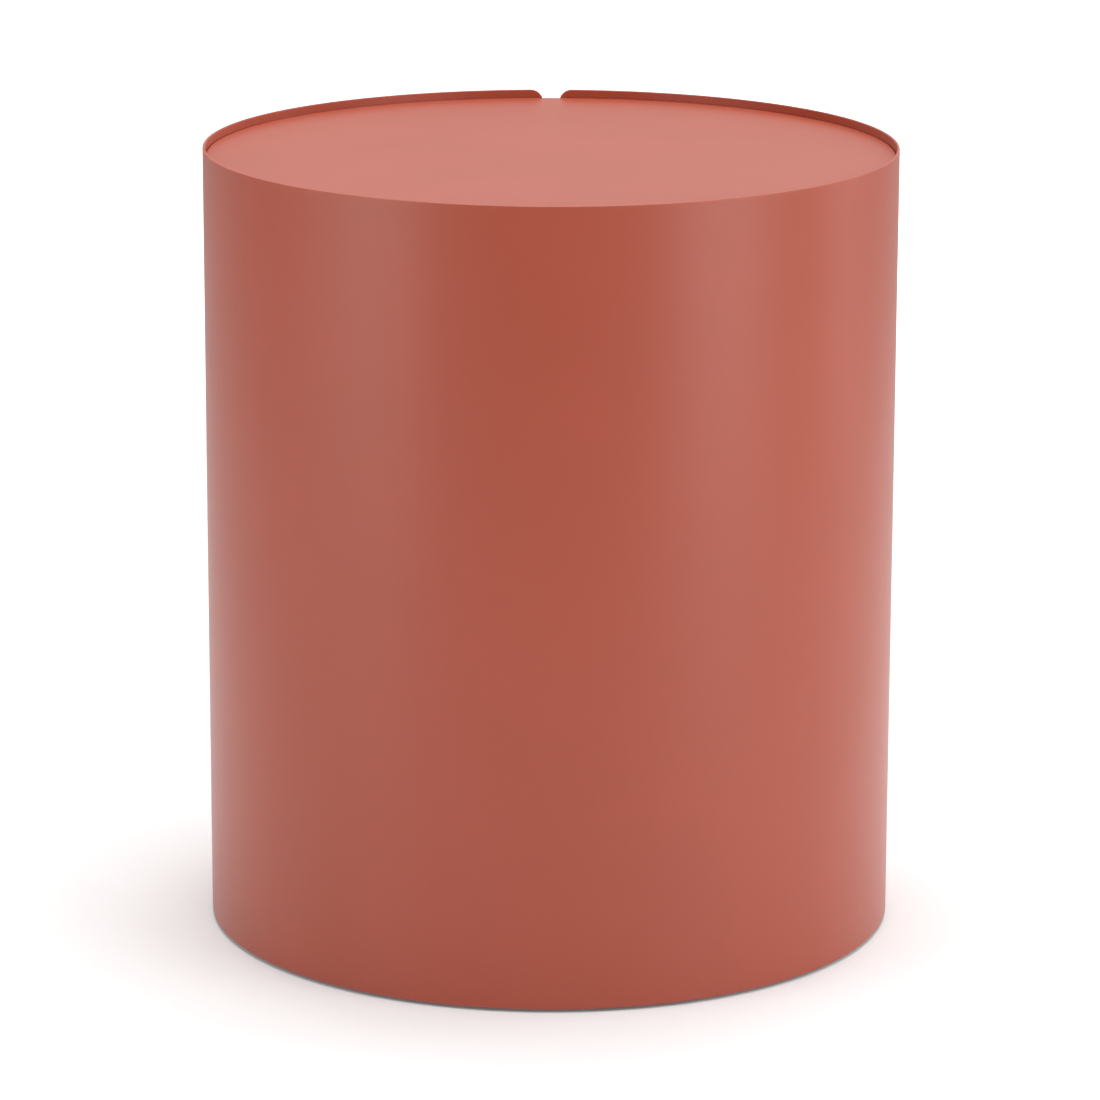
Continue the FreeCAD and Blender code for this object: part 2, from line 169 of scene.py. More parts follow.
def powderCoat():
    paint = newPaint("powder_coat")
    cloud = paint.noise(coat["cloud"], detail=3)
    speck = paint.noise(coat["speck"], detail=1)
    peel = paint.noise(coat["peel"], detail=1.5)
    grain = paint.noise(coat["grain"], detail=2)
    edge = paint.field("edge")
    thick = paint.fade(cloud * 0.8 + speck * 0.2, 0.36, 0.64)
    colour = paint.mix(thick, coat["colour"], coat["deep"])
    colour = paint.mix(edge * paint.fade(speck, 0.3, 0.7) * coat["thinShare"], colour, coat["thin"])
    rough = coat["rough"] + (cloud - 0.5) * 0.03 + (speck - 0.5) * 0.05 + edge * 0.03
    normal = paint.relief(grain, coat["grainHeight"], paint.relief(peel, coat["peelHeight"]))
    return paint.finish({"Base Color": colour, "Roughness": rough, "Normal": normal, "IOR": 1.5})


zinc = {
    "blue": (0.60, 0.62, 0.66, 1),
    "straw": (0.66, 0.64, 0.56, 1),          # the passivated parts
    "rough": 0.26,
    "cloud": 6 * mm,
    "spangle": 0.5 * mm,
    "spangleHeight": 0.004 * mm,
    "scratch": 0.25 * mm,
    "scratchRun": (1, 1, 0.08),              # drawn out upwards
    "scratchHeight": 0.003 * mm,
}


def zincPlate():
    paint = newPaint("zinc_plate")
    cloud = paint.noise(zinc["cloud"], detail=4, rough=0.6)
    spangle = paint.noise(zinc["spangle"], detail=2)
    scratch = paint.noise(zinc["scratch"], detail=3, at=paint.stretched(zinc["scratchRun"]))
    colour = paint.mix(paint.fade(cloud, 0.3, 0.7), zinc["blue"], zinc["straw"])
    rough = zinc["rough"] + spangle * 0.16 + paint.fade(scratch, 0.55, 0.75) * 0.12
    normal = paint.relief(scratch, zinc["scratchHeight"], paint.relief(spangle, zinc["spangleHeight"]))
    return paint.finish({"Base Color": colour, "Roughness": rough, "Metallic": 1.0, "Normal": normal})


nylon = {
    "black": (0.020, 0.020, 0.022, 1),
    "dusty": (0.055, 0.052, 0.048, 1),
    "rough": 0.46,
    "dust": 5 * mm,
    "texture": 0.35 * mm,
    "textureHeight": 0.012 * mm,
}


def mouldedNylon():
    paint = newPaint("moulded_nylon")
    texture = paint.noise(nylon["texture"], detail=3)
    dust = paint.noise(nylon["dust"], detail=4, rough=0.65)
    colour = paint.mix(paint.fade(dust, 0.5, 0.8) * 0.5, nylon["black"], nylon["dusty"])
    rough = nylon["rough"] + texture * 0.12
    normal = paint.relief(texture, nylon["textureHeight"])
    return paint.finish({"Base Color": colour, "Roughness": rough, "Normal": normal})


felt = {
    "dark": (0.055, 0.050, 0.046, 1),
    "pale": (0.17, 0.155, 0.14, 1),
    "fleck": (0.30, 0.28, 0.25, 1),
    "rough": 0.95,
    "fibre": 0.22 * mm,
    "fibreRun": 0.25,                        # drawn out one way
    "fibreHeight": 0.12 * mm,
    "fleckSize": 0.6 * mm,
}


def woolFelt():
    paint = newPaint("wool_felt")
    along = paint.noise(felt["fibre"], detail=4, rough=0.7, at=paint.stretched((1, felt["fibreRun"], 1)))
    across = paint.noise(felt["fibre"], detail=4, rough=0.7, at=paint.stretched((felt["fibreRun"], 1, 1)))
    fibre = paint.larger(along, across)
    fleck = paint.fade(paint.noise(felt["fleckSize"], detail=2), 0.55, 0.75)
    colour = paint.mix(paint.fade(fibre, 0.4, 0.75), felt["dark"], felt["pale"])
    colour = paint.mix(fleck * 0.5, colour, felt["fleck"])
    normal = paint.relief(fibre, felt["fibreHeight"])
    return paint.finish({"Base Color": colour, "Roughness": felt["rough"], "Normal": normal})


finishes = {"coat": powderCoat(), "zinc": zincPlate(), "nylon": mouldedNylon(), "felt": woolFelt()}
print("finishes:", ", ".join(finishes))


# Surfaces

def skin(name, points, finish, body, stands, capped=True, fields=None):
    # points[copy, row, column] are closed surfaces: the columns run right round, and the rows end in a
    # point each way if capped, or run on into the first row again
    if points.ndim == 3:
        points = points[None]
    copies, rows, columns = points.shape[:3]
    i, j = np.meshgrid(np.arange(rows - 1 if capped else rows), np.arange(columns), indexing="ij")
    lower = i * columns
    upper = (i + 1) % rows * columns
    right = (j + 1) % columns
    quads = np.stack([lower + j, lower + right, upper + right, upper + j], -1).reshape(-1, 4)
    triangles = np.zeros((0, 3), int)
    cloud = points.reshape(copies, -1, 3)
    if capped:
        pole = rows * columns
        ring = np.stack([np.arange(columns), (np.arange(columns) + 1) % columns], -1)
        first = np.column_stack([ring[:, ::-1], np.full(columns, pole)])
        last = np.column_stack([ring + pole - columns, np.full(columns, pole + 1)])
        triangles = np.concatenate([first, last])
        cloud = np.concatenate([cloud, points[:, [0, -1]].mean(axis=2)], axis=1)
    shift = np.arange(copies)[:, None, None] * cloud.shape[1]
    quads = (quads + shift).reshape(-1, 4)
    triangles = (triangles + shift).reshape(-1, 3)
    cloud = cloud.reshape(-1, 3)
    if volume(cloud, quads, triangles) < 0:      # faces point outwards
        quads = quads[:, ::-1]
        triangles = triangles[:, ::-1]
    mesh = bpy.data.meshes.new(name)
    mesh.from_pydata(cloud.tolist(), [], quads.tolist() + triangles.tolist())
    mesh.polygons.foreach_set("use_smooth", np.ones(len(mesh.polygons), bool))
    for key, values in (fields or {}).items():
        mesh.attributes.new(key, "FLOAT", "POINT").data.foreach_set("value", values.ravel())
    mesh.update()
    fit(bpy.data.objects.new(name, mesh), finish, body, stands)


def volume(cloud, quads, triangles):
    # a sixth of the summed triple products of the triangles' corners
    whole = np.concatenate([quads[:, [0, 1, 2]], quads[:, [0, 2, 3]], triangles])
    a, b, c = (cloud[whole[:, k]] for k in range(3))
    return np.einsum("ij,ij->i", a, np.cross(b, c)).sum() / 6


def fit(piece, finish, body, stands):
    # gives a piece its finish and the body it rides on, and hides the nodes it stands for
    bpy.context.scene.collection.objects.link(piece)
    piece.data.materials.append(finishes[finish])
    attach(piece, body)
    if stands:
        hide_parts(*stands)


def turned(radius, angle, height):
    # a point at this radius and height, its angle counted from +X towards +Y
    return np.stack(np.broadcast_arrays(radius * np.cos(angle), radius * np.sin(angle), height), -1)


def roundAngles(count, start=0.0):
    # this many angles, evenly spread over one turn
    return start + np.arange(count) * 2 * math.pi / count


def roundTo(points, places, turns):
    # copies of one surface, each turned about Z and moved to its place
    c, s = np.cos(turns), np.sin(turns)
    zero, one = np.zeros_like(c), np.ones_like(c)
    spin = np.stack([c, -s, zero, s, c, zero, zero, zero, one], -1).reshape(-1, 3, 3)
    return np.einsum("nab,rcb->nrca", spin, points) + np.asarray(places)[:, None, None, :]


# Drum

shellLow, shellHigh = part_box("outer_shell")
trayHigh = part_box("table_top")[1]
drum = {
    "sheet": 1.5 * mm,
    "rounding": 0.5 * mm,          # coated edges of the sheet
    "roundingRows": 5,
    "notchWidth": 9.6 * mm,
    "notchMouth": 8 * mm,          # radius of the flare each side
    "notchDepth": 14 * mm,
    "plainColumns": 240,           # from the notch to the front, each side
    "flareColumns": 22,
    "sideColumns": 3,
    "bottomColumns": 40,
    "footRows": [0, 0.3 * mm, 1.5 * mm, 5 * mm],    # heights above the bottom rounding
    "wallStart": 14 * mm,          # and the height at which the even rows start
    "wallRows": 30,
    "bendHeight": 34 * mm,         # below the rim, where the columns start to lean towards the notch
    "bendRows": 17,
    "bendCrowding": 1.6,           # draws those rows closer together towards the rim
    "bendLast": 0.996,             # the last row but one, as a share of the way to the rim
    "edgeFade": 0.7 * mm,          # how far the coat is thin beside an edge
    "waviness": 0.10 * mm,         # how far the rolled sheet strays inwards
    "waves": [                     # share of it, waves round the drum, start and twist on the way up
        (0.20, 2, 0.7, 0),
        (0.15, 5, 0, 3.1),
        (0.15, 9, -2.0, 4.3),
    ],
    "seamSink": 0.035 * mm,        # hollow left where the seam was ground flush
    "seamWidth": 2.6 * mm,
}


def rimOutline(radius, rim):
    # the rim laid flat, from the front round by the notch to the front again:
    # place along the sheet, height, and the direction that points out of the sheet
    half = drum["notchWidth"] / 2
    flare = drum["notchMouth"]
    floor = rim - drum["notchDepth"] + half
    reach = half + flare
    sides = drum["sideColumns"]
    plain = np.linspace(-math.pi * radius, -reach, drum["plainColumns"], endpoint=False)
    down = np.linspace(math.pi / 2, 0, drum["flareColumns"], endpoint=False)
    wall = np.linspace(rim - flare, floor, sides, endpoint=False)
    under = np.linspace(math.pi, 1.5 * math.pi, drum["bottomColumns"] // 2, endpoint=False)
    flat = np.zeros(plain.size)
    along = [plain, -reach + flare * np.cos(down), np.full(sides, -half), half * np.cos(under)]
    height = [flat + rim, rim - flare + flare * np.sin(down), wall, floor + half * np.sin(under)]
    outX = [flat, np.cos(down), np.ones(sides), -np.cos(under)]
    outZ = [flat + 1, np.sin(down), np.zeros(sides), -np.sin(under)]
    left = np.stack([np.concatenate(part) for part in (along, height, outX, outZ)])
    middle = np.array([[0.0], [floor - half], [0.0], [1.0]])
    right = left[:, :0:-1] * np.array([[-1], [1], [-1], [1]])
    outline = np.concatenate([left, middle, right], axis=1)
    inNotch = np.abs(outline[0]) <= reach + 1e-9
    foot = outline[0].copy()       # the same columns at the bottom edge, evenly spread under the notch
    foot[inNotch] = np.linspace(-reach, reach, inNotch.sum())
    return outline, foot


def makeDrumShell():
    # the rim outline and the bottom edge are the two ends of every column; the sheet's section is carried
    # up the outside, round the coated edge, down the inside and round the bottom edge
    radius = shellHigh.x - drum["sheet"] / 2
    rim, bottom = shellHigh.z, shellLow.z
    r = drum["rounding"]
    t = drum["sheet"] / 2
    (along, height, outX, outZ), foot = rimOutline(radius, rim)
    bend = rim - drum["bendHeight"]
    wall = np.linspace(drum["wallStart"], bend - bottom - r, drum["wallRows"])
    rise = np.concatenate([drum["footRows"], wall])
    spread = np.linspace(0, 1, drum["bendRows"])[1:-1]
    lean = np.append(1 - (1 - spread) ** drum["bendCrowding"], [drum["bendLast"], 1.0])[:, None]
    ease = lean * lean * (3 - 2 * lean)

    wallX = np.tile(foot, (rise.size, 1))
    wallZ = (bottom + r + rise)[:, None] + 0 * foot
    topX, topZ = along - r * outX, height - r * outZ
    faceX = np.concatenate([wallX, foot + (topX - foot) * ease])
    faceZ = np.concatenate([wallZ, bend + (topZ - bend) * lean])

    quarter = np.linspace(0, math.pi / 2, drum["roundingRows"])[1:, None]
    push = -r + r * np.sin(quarter)              # out towards the edge
    side = t - r + r * np.cos(quarter)           # across the sheet
    rimX, rimZ = along + push * outX, height + push * outZ
    sillX, sillZ = foot + 0 * push, bottom - push + 0 * foot
    x = np.concatenate([faceX, rimX, rimX[::-1], faceX[::-1], sillX, sillX[::-1]])
    z = np.concatenate([faceZ, rimZ, rimZ[::-1], faceZ[::-1], sillZ, sillZ[::-1]])
    face = np.full((faceX.shape[0], 1), t)
    across = np.concatenate([face, side, -side[::-1], -face, -side, side[::-1]])

    fromRim, fromSill = height - faceZ - r, faceZ - bottom - r
    edge = np.maximum(np.exp(-fromRim / drum["edgeFade"]), np.exp(-fromSill / drum["edgeFade"]))
    rims = np.ones_like(rimX)
    edge = np.concatenate([edge, rims, rims, edge[::-1], rims, rims])

    turn = x / radius
    stray = 0.5
    for share, waves, start, twist in drum["waves"]:
        stray = stray + share * np.sin(waves * turn + start + twist * z / rim)
    seam = np.exp(-(x / drum["seamWidth"]) ** 2)
    reach = radius + across - drum["waviness"] * np.clip(stray, 0, 1) - drum["seamSink"] * seam
    points = turned(reach, math.pi / 2 - turn, z)
    skin("drum_shell", points, "coat", "root", ["outer_shell"], capped=False,
         fields={"edge": np.clip(edge, 0, 1)})


tray = {
    "thickness": 2 * mm,
    "rounding": 0.5 * mm,
    "roundingRows": 5,
    "dish": 0.12 * mm,             # how far the middle lies below the rim
    "rows": [0.03, 0.08, 0.2, 0.35, 0.5, 0.65, 0.8, 0.9, 0.96, 0.985, 0.995],    # shares of the radius
    "lastRow": 0.2 * mm,           # from the rounding
    "columns": 300,
    "edgeFade": 0.8 * mm,
}


def makeTrayDisc():
    # a profile turned about Z: underside from the middle outwards, round the rim, and back over the top,
    # with the top dished by a parabola
    radius, level, r = trayHigh.x, trayHigh.z, tray["rounding"]
    reach = np.array(tray["rows"]) * (radius - r)
    reach = np.append(reach, [radius - r - tray["lastRow"], radius - r])
    quarter = np.linspace(0, math.pi / 2, tray["roundingRows"])[1:]
    rimOut, rimUp = radius - r + r * np.sin(quarter), r * np.cos(quarter)
    low = level - tray["thickness"]
    dish = tray["dish"] * (1 - (reach / radius) ** 2)
    out = np.concatenate([reach, rimOut, rimOut[::-1], reach[::-1]])
    up = np.concatenate([low + 0 * reach, low + r - rimUp, level - r + rimUp[::-1], level - dish[::-1]])
    edge = np.exp(-np.abs(out - radius) / tray["edgeFade"]) * (up > level - r - 0.1 * mm)
    points = turned(out[:, None], roundAngles(tray["columns"])[None], up[:, None])
    skin("tray_disc", points, "coat", "root", ["table_top"],
         fields={"edge": np.append(np.repeat(edge[:, None], tray["columns"], axis=1).ravel(), [0, 0])})


makeDrumShell()
makeTrayDisc()
print("drum and tray made")


# Frame under the tray

brace = {
    "web": 20 * mm,
    "foot": 10 * mm,
    "sheet": 1.2 * mm,
    "bend": 1.6 * mm,              # to the middle of the sheet
    "bendSteps": 6,
    "flangeSteps": 10,
    "columns": 150,                # from end to end
    "edge": 0.2 * mm,
    "edgeAngle": math.radians(50),
    "spots": 6,                    # spot welds along each foot
    "spotWidth": 2.6 * mm,
    "spotDepth": 0.25 * mm,
}


def bentPath(corners, bend, steps):
    # straight runs between corners, with an arc of the bend radius tangent to both at each inner corner
    corners = np.asarray(corners, float)
    path = [corners[0]]
    for before, at, after in zip(corners, corners[1:], corners[2:]):
        u = (before - at) / np.linalg.norm(before - at)
        v = (after - at) / np.linalg.norm(after - at)
        share = np.linspace(0, 1, steps + 1)[:, None]
        start = math.atan2(*-v[::-1])
        sweep = math.remainder(math.atan2(*-u[::-1]) - start, 2 * math.pi)
        angle = start + sweep * share
        centre = at + bend * (u + v)
        path.extend(centre + bend * np.concatenate([np.cos(angle), np.sin(angle)], axis=1))
    path.append(corners[-1])
    return np.array(path)


def makeBrace(node, name):
    # the hat's bent line is carried along Y and Solidify gives it its sheet; spot welds are round dents
    low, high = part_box(node)
    middle = (low.x + high.x) / 2
    s = brace["sheet"]
    out = brace["web"] / 2 - s / 2
    top, under = high.z - s / 2, low.z + s / 2
    toe = brace["web"] / 2 + brace["foot"]
    corners = [(-toe, top), (-out, top), (-out, under), (out, under), (out, top), (toe, top)]
    path = bentPath(corners, brace["bend"], brace["bendSteps"])
    flange = np.linspace(0, 1, brace["flangeSteps"])[1:-1, None]
    path = np.concatenate([path[:1], path[0] + (path[1] - path[0]) * flange, path[1:-1],
                           path[-2] + (path[-1] - path[-2]) * flange, path[-1:]])
    y = np.linspace(low.y, high.y, brace["columns"])[:, None]
    x = middle + path[:, 0] + 0 * y
    z = path[:, 1] + 0 * y
    pitch = (high.y - low.y) / brace["spots"]
    near = (y - low.y) / pitch % 1 * pitch - pitch / 2
    off = np.abs(path[:, 0]) - (toe - brace["foot"] / 2)
    dent = np.exp(-((near ** 2 + off ** 2) / brace["spotWidth"] ** 2) ** 2)
    points = np.stack([x, y + 0 * x, z + brace["spotDepth"] * dent], -1)
    rows, columns = points.shape[:2]
    i, j = np.meshgrid(np.arange(rows - 1), np.arange(columns - 1), indexing="ij")
    corner = i * columns + j
    faces = np.stack([corner, corner + 1, corner + columns + 1, corner + columns], -1).reshape(-1, 4)
    mesh = bpy.data.meshes.new(name)
    mesh.from_pydata(points.reshape(-1, 3).tolist(), [], faces.tolist())
    mesh.polygons.foreach_set("use_smooth", np.ones(len(mesh.polygons), bool))
    mesh.update()
    piece = bpy.data.objects.new(name, mesh)
    solid = piece.modifiers.new("sheet", "SOLIDIFY")
    solid.thickness = s
    solid.offset = 0
    soft = piece.modifiers.new("edges", "BEVEL")
    soft.width = brace["edge"]
    soft.segments = 2
    soft.limit_method = "ANGLE"
    soft.angle_limit = brace["edgeAngle"]
    fit(piece, "coat", "root", [node])


makeBrace("left_brace", "left_hat_brace")
makeBrace("right_brace", "right_hat_brace")

for ring in ("top_support_ring", "bottom_ring"):
    frame["nodes"][ring].data.materials.clear()
    frame["nodes"][ring].data.materials.append(finishes["coat"])

weld = {
    "bead": 1.5 * mm,              # radius of a stitch
    "beadBreadth": 0.85,           # out from the wall, as a share of its height
    "beadSink": 0.6 * mm,          # how far its middle lies inside the wall
    "beadRise": 0.4 * mm,          # and off the ring's face
    "stitches": 8,
    "length": 26 * mm,
    "blunt": 6,                    # the higher, the blunter the ends of a stitch
    "rows": 61,
    "sides": 12,
    "ripple": 1.7 * mm,            # between two ripples
    "rippleHeight": 0.07,
    "seamHalfWidth": 2.2 * mm,
    "seamProud": 0.45 * mm,
    "seamSink": 0.15 * mm,
    "seamGap": 0.5 * mm,           # short of each ring
    "seamTaper": 2 * mm,
    "seamTip": 0.1,                # share of its size left at each end
    "widthRipple": 0.03,
    "widthWander": 0.04,
    "wander": 7 * mm,              # how slowly its width wanders
    "proudRipple": 0.18,
    "seamRows": 900,
}


def makeRingStitches(name, ring, level):
    # stitches of weld along the joint of a ring and the drum: a circle carried round an arc, its radius
    # swelling to the middle, falling to nothing at both ends, and rippled along the way
    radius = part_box(ring)[1].x - weld["beadSink"]
    along = np.linspace(0, 1, weld["rows"])[1:-1, None]
    swell = (1 - np.abs(2 * along - 1) ** weld["blunt"]) ** 0.5
    ripple = 1 + weld["rippleHeight"] * np.sin(2 * math.pi * along * weld["length"] / weld["ripple"])
    size = weld["bead"] * swell * ripple
    around = roundAngles(weld["sides"])[None]
    sweep = (along - 0.5) * weld["length"] / radius
    reach = radius + size * np.cos(around) * weld["beadBreadth"]
    bead = turned(reach, sweep + 0 * around, level + size * np.sin(around))
    turns = roundAngles(weld["stitches"], math.pi / weld["stitches"])
    points = roundTo(bead, np.zeros((turns.size, 3)), turns)
    skin(name, points, "coat", "root", [])


def makeSeamWeld():
    # the drum's seam seen from inside: a flat oval carried up the back wall, rippled along the way
    inner = shellHigh.x - drum["sheet"] - weld["seamSink"]
    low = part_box("bottom_ring")[1].z + weld["seamGap"]
    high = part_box("top_support_ring")[0].z - weld["seamGap"]
    z = np.linspace(low, high, weld["seamRows"])[:, None]
    ends = np.clip(np.minimum(z - low, high - z) / weld["seamTaper"], 0, 1) ** 0.5
    taper = weld["seamTip"] + (1 - weld["seamTip"]) * ends
    pulse = np.sin(2 * math.pi * z / weld["ripple"])
    around = roundAngles(weld["sides"])[None]
    uneven = 1 + weld["widthRipple"] * pulse + weld["widthWander"] * np.sin(z / weld["wander"])
    wide = weld["seamHalfWidth"] * uneven * taper
    proud = weld["seamProud"] * (1 + weld["proudRipple"] * pulse) * taper
    points = np.stack([wide * np.cos(around), inner + proud * np.sin(around), z + 0 * around], -1)
    skin("seam_weld", points, "coat", "root", [])


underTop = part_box("top_support_ring")[0].z - weld["beadRise"]
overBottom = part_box("bottom_ring")[1].z + weld["beadRise"]
makeRingStitches("top_ring_stitches", "top_support_ring", underTop)
makeRingStitches("bottom_ring_stitches", "bottom_ring", overBottom)
makeSeamWeld()
print("braces and welds made")


# Fasteners

thread = {
    "crest": 0.125,                # flat at the crest, as a share of the pitch
    "root": 0.25,
    "depth": 0.6134,
    "rows": 10,                    # for each pitch
}
hexagon = {
    "cone": 0.47,                  # where the ends are cut, as a share of the width across the flats
    "slope": math.tan(math.radians(30)),
    "steps": 5,
    "columns": 48,
    "lead": 0.35 * mm,             # chamfer at each end of a nut's bore
}
small = {                          # the fasteners under the tray
    "count": 6,
    "radius": 2.5 * mm,
    "pitch": 0.8 * mm,
    "columns": 24,
    "tip": 0.7,                    # cut off the thread's end, in pitches
    "flats": 8 * mm,
    "play": 0.06 * mm,
    "washer": 5 * mm,
    "washerBore": 2.65 * mm,
    "washerCorner": 0.15 * mm,
    "washerColumns": 40,
}
large = {                          # the feet's thread and their nuts
    "radius": 4 * mm,
    "pitch": 1.25 * mm,
    "tip": 1 * mm,
    "flats": 13 * mm,
    "play": 0.06 * mm,
}


def threadRadius(radius, pitch, angle, height):
    # a right-hand thread: the flank falls from crest to root and back once for every pitch of climb
    phase = (height / pitch - angle / (2 * math.pi)) % 1
    flank = 1 - thread["root"] - thread["crest"]
    tooth = np.clip((np.abs(2 * phase - 1) - thread["crest"]) / flank, 0, 1)
    return radius - thread["depth"] * pitch * tooth


def hexRadius(flats, angle):
    # distance from the middle to the side of a hexagon with a corner at angle 0
    sixth = math.pi / 3
    return flats / 2 / np.cos((angle % sixth) - sixth / 2)


def hexRows(flats, low, high, angle):
    # a hexagon's side between two faces, both ends cut by a 30 degree cone
    cone = hexagon["cone"] * flats
    depth = (flats / math.sqrt(3) - cone) * hexagon["slope"]
    fall = np.linspace(0, depth, hexagon["steps"])
    height = np.concatenate([low + fall, high - fall[::-1]])[:, None]
    limit = cone + np.minimum(height - low, high - height) / hexagon["slope"]
    return np.minimum(hexRadius(flats, angle), limit), height


def nutSurface(plan, low, high):
    # out along the lower face, up the six sides, in along the upper face and down the bore, then round
    angle = roundAngles(hexagon["columns"])[None]
    side, height = hexRows(plan["flats"], low, high, angle)
    lead = hexagon["lead"]
    bore = plan["radius"] + plan["play"]
    boreRadius = np.array([[bore], [bore + lead]]) + 0 * angle
    radius = np.concatenate([boreRadius, side, boreRadius[::-1]])
    level = np.concatenate([[[low + lead], [low]], height, [[high], [high - lead]]])
    return turned(radius, angle, level)


def washerSurface(low, high):
    # a flat ring whose four corners are cut off
    outer, bore, r = small["washer"], small["washerBore"], small["washerCorner"]
    radius = np.array([bore, bore + r, outer - r, outer, outer, outer - r, bore + r, bore])[:, None]
    level = np.array([low + r, low, low, low + r, high - r, high, high, high - r])[:, None]
    return turned(radius, roundAngles(small["washerColumns"])[None], level)


def studSurface(low, high):
    # a threaded rod: the thread's radius over angle and height, cut back by a cone at the free end
    radius, pitch = small["radius"], small["pitch"]
    angle = roundAngles(small["columns"])[None]
    height = np.linspace(low, high, int((high - low) / pitch * thread["rows"]))[:, None]
    cone = radius - small["tip"] * pitch + (height - low)
    return turned(np.minimum(threadRadius(radius, pitch, angle, height), cone), angle, height)


def makeTopFasteners():
    # studs, washers and nuts, each the same piece repeated round one circle
    low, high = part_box("top_weld_studs")
    turns = roundAngles(small["count"])
    places = turned(high.x - small["radius"], turns, 0)
    stud = roundTo(studSurface(low.z, high.z), places, turns)
    skin("threaded_studs", stud, "zinc", "root", ["top_weld_studs"])
    low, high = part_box("top_washers")
    washer = roundTo(washerSurface(low.z, high.z), places, turns)
    skin("plain_washers", washer, "zinc", "root", ["top_washers"], capped=False)
    low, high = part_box("top_nuts")
    nut = roundTo(nutSurface(small, low.z, high.z), places, turns)
    skin("small_hex_nuts", nut, "zinc", "root", ["top_nuts"], capped=False)


def footPlace(number):
    # where a foot's axis meets the floor
    low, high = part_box("foot_base_" + number)
    return (low.x + high.x) / 2, (low.y + high.y) / 2, 0.0


def makeFootNuts():
    # one nut repeated over the feet, a corner of each pointing away from the middle of the drum
    low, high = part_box("foot_weld_nuts")
    places = [footPlace(number) for number in feet]
    turns = [math.atan2(y, x) for x, y, z in places]
    nut = roundTo(nutSurface(large, low.z, high.z), places, turns)
    skin("foot_hex_nuts", nut, "zinc", "root", ["foot_weld_nuts"], capped=False)


# Levelling feet

stem = {
    "neck": 3.5 * mm,
    "head": 6 * mm,
    "headHeight": 2.2 * mm,
    "headCorner": 0.2 * mm,
    "collar": 13 * mm,             # across the flats
    "collarHeight": 4.2 * mm,
    "collarGap": 0.2 * mm,         # above the base
}


def makeFootStem(number):
    # swivel head, neck, hexagon and thread in one surface: radius as a function of angle and height
    low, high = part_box("foot_stem_" + number)
    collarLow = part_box("foot_base_" + number)[1].z + stem["collarGap"]
    collarHigh = collarLow + stem["collarHeight"]
    angle = roundAngles(hexagon["columns"])[None]
    headTop = low.z + stem["headHeight"]
    head, neck, b = stem["head"], stem["neck"], stem["headCorner"]
    plainRadius = np.array([head - b, head, head, head - b, neck, neck])[:, None]
    plainHeight = np.array([low.z, low.z + b, headTop - b, headTop, headTop, collarLow])[:, None]
    side, sideHeight = hexRows(stem["collar"], collarLow, collarHigh, angle)
    count = int((high.z - collarHigh) / large["pitch"] * thread["rows"])
    height = np.linspace(collarHigh, high.z, count)[:, None]
    cone = large["radius"] - large["tip"] + (high.z - height)
    rod = np.minimum(threadRadius(large["radius"], large["pitch"], angle, height), cone)
    radius = np.concatenate([plainRadius + 0 * angle, side, rod])
    level = np.concatenate([plainHeight, sideHeight, height])
    points = turned(radius, angle, level) + np.array(footPlace(number))
    skin("glide_stem_" + number, points, "zinc", "stem_" + number, ["foot_stem_" + number])


base = {
    "rim": 1.6 * mm,
    "floor": 1.8 * mm,
    "roof": 1.6 * mm,
    "play": 0.08 * mm,             # round the stem's head and neck
    "rounding": 1.5 * mm,
    "roundingRows": 7,
    "corner": 0.25 * mm,
    "axis": 0.1 * mm,              # radius at which the profile starts and ends
    "wallRows": 6,
    "columns": 192,
    "flutes": 24,                  # finger grip round the outside
    "fluteDepth": 0.45 * mm,
    "fluteMiddle": 0.42,           # their place up the wall, as a share of the height
    "fluteReach": 2.4 * mm,
}


def makeFootBase(number):
    # a moulded profile turned about the foot's axis, its outside drawn in by a cosine for each flute
    low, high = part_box("foot_base_" + number)
    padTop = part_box("foot_pad_" + number)[1].z
    headLow = padTop + base["floor"]
    roof = high.z - base["roof"]
    radius = (high.x - low.x) / 2
    recess = radius - base["rim"]
    space, bore = stem["head"] + base["play"], stem["neck"] + base["play"]
    r, b, axis = base["rounding"], base["corner"], base["axis"]
    quarter = np.linspace(0, math.pi / 2, base["roundingRows"])
    rimOut, rimUp = radius - r + r * np.cos(quarter), high.z - r + r * np.sin(quarter)
    wallUp = np.linspace(low.z + b, high.z - r, base["wallRows"])[:-1]
    underOut = [axis, recess - b, recess, recess, recess + b, radius - b]
    underUp = [padTop, padTop, padTop - b, low.z + b, low.z, low.z]
    insideOut = [bore + b, bore, bore, space, space, axis]
    insideUp = [high.z, high.z - b, roof, roof, headLow, headLow]
    out = np.concatenate([underOut, radius + 0 * wallUp, rimOut, insideOut])
    up = np.concatenate([underUp, wallUp, rimUp, insideUp])
    angle = roundAngles(base["columns"])
    middle = low.z + base["fluteMiddle"] * (high.z - low.z)
    window = np.exp(-((up - middle) / base["fluteReach"]) ** 4) * (out > radius - 0.6 * r)
    flute = (0.5 - 0.5 * np.cos(base["flutes"] * angle)) ** 2
    reach = out[:, None] - base["fluteDepth"] * window[:, None] * flute[None]
    points = turned(reach, angle[None], up[:, None]) + np.array(footPlace(number))
    skin("glide_base_" + number, points, "nylon", "foot_" + number, ["foot_base_" + number])


pad = {
    "rounding": 0.5 * mm,
    "roundingRows": 5,
    "rows": [0.15, 0.5, 0.8],      # shares of the radius
    "columns": 120,
    "ragged": 0.10 * mm,           # how far the cut edge strays
    "raggedWaves": (17, 41),
}


